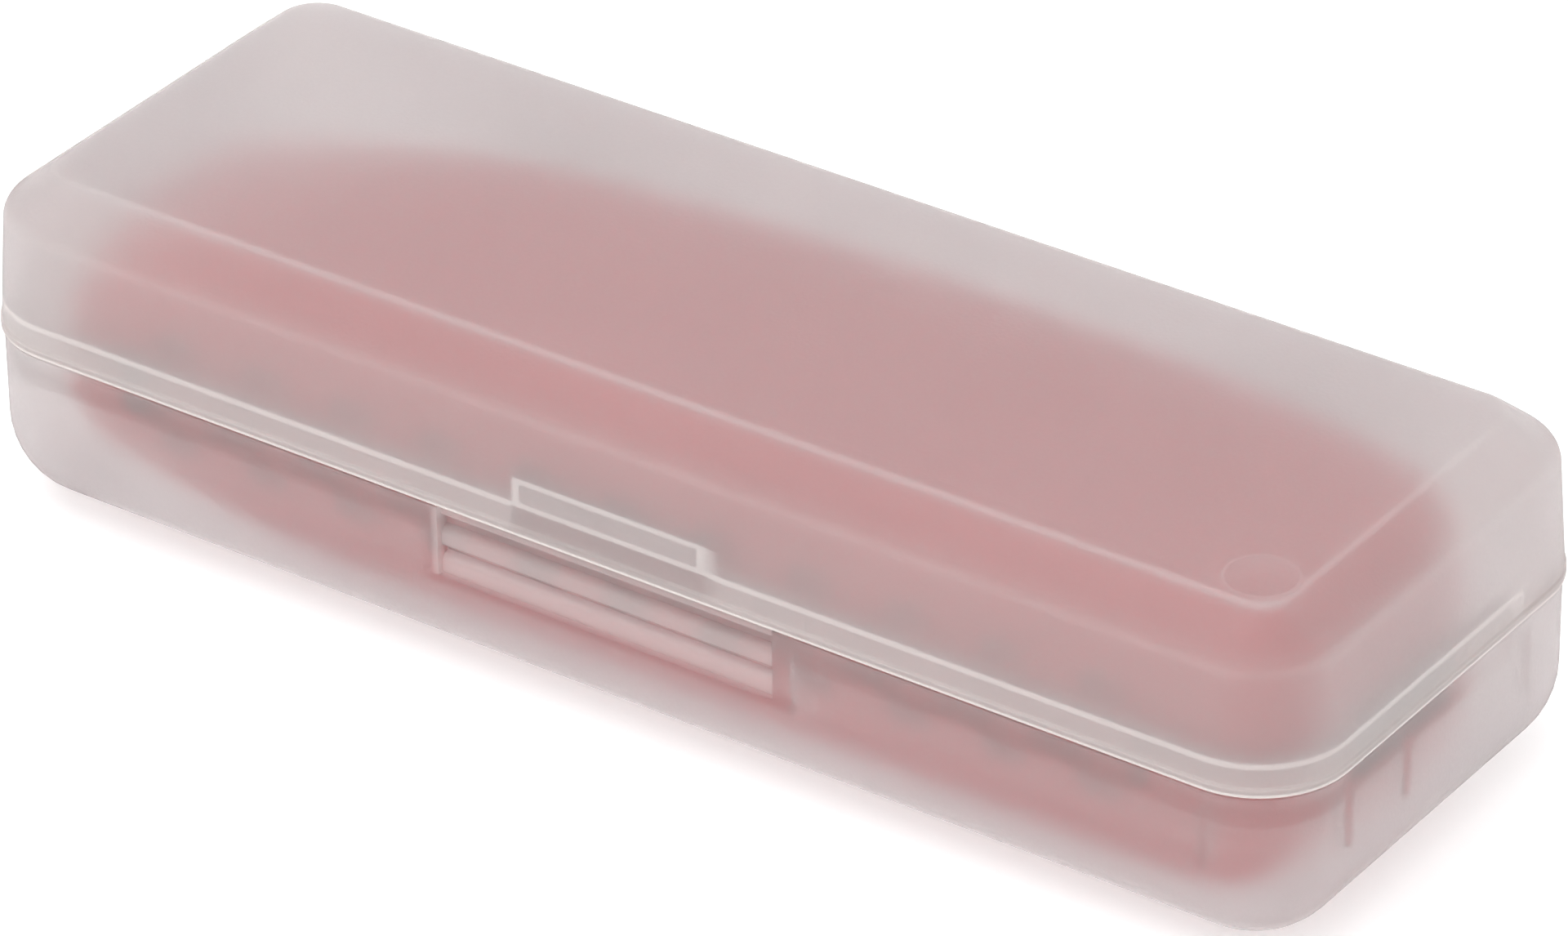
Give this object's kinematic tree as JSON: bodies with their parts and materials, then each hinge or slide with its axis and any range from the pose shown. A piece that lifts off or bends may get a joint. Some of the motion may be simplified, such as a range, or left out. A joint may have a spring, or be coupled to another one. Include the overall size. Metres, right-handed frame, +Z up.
{
  "type": "derma roller in storage case",
  "caption": "Needle roller for the skin, stored on a slotted red cradle inside a frosted hinged case with a snap catch and a ribbed thumb recess.",
  "frame": {"origin": "middle of the box's footprint, on the plane of the case's flat bottom", "axes": "+X along the case towards the roller's head, -Y towards the catch, +Y towards the hinge, +Z up"},
  "size_m": [0.15, 0.0586, 0.035],
  "materials": {
    "case": "frosted translucent polypropylene",
    "cradle": "satin moulded polypropylene",
    "handle": "satin ABS",
    "grip": "soft matte",
    "head": "satin ABS",
    "drum": "satin",
    "gold": "gold titanium coating",
    "steel": "bright drawn"
  },
  "bodies": {
    "case": {"case_base": "case", "hinge_pin_left": "steel", "hinge_pin_right": "steel", "cradle_tray": "cradle", "handle_lower_shell": "handle", "handle_upper_shell": "handle", "handle_grip": "grip", "handle_end_cap": "gold", "neck_collar": "gold", "head_fork": "head", "drum_axle": "steel", "axle_cap_front": "head", "axle_cap_back": "head"},
    "lid": {"case_lid": "case", "cradle_cover": "cradle"},
    "drum": {"drum_core": "drum", "drum_cap_front": "drum", "drum_cap_back": "drum", "needle_disc_01": "gold", "needle_disc_02": "gold", "needle_disc_03": "gold", "needle_disc_04": "gold", "needle_disc_05": "gold", "needle_disc_06": "gold", "needle_disc_07": "gold", "needle_disc_08": "gold", "needle_disc_09": "gold", "needle_disc_10": "gold", "disc_spacer_01": "drum", "disc_spacer_02": "drum", "disc_spacer_03": "drum", "disc_spacer_04": "drum", "disc_spacer_05": "drum", "disc_spacer_06": "drum", "disc_spacer_07": "drum", "disc_spacer_08": "drum", "disc_spacer_09": "drum"}
  },
  "joints": [
    {"name": "lid_hinge", "type": "hinge", "parent": "case", "child": "lid", "pos_m": [0, 0.02717, 0.01818], "axis": [-1, 0, 0], "range_deg": [0, 180]},
    {"name": "drum_spin", "type": "hinge", "parent": "case", "child": "drum", "pos_m": [0.0585, -0.00743, 0.0146], "axis": [0, 1, 0], "continuous": true}
  ]
}
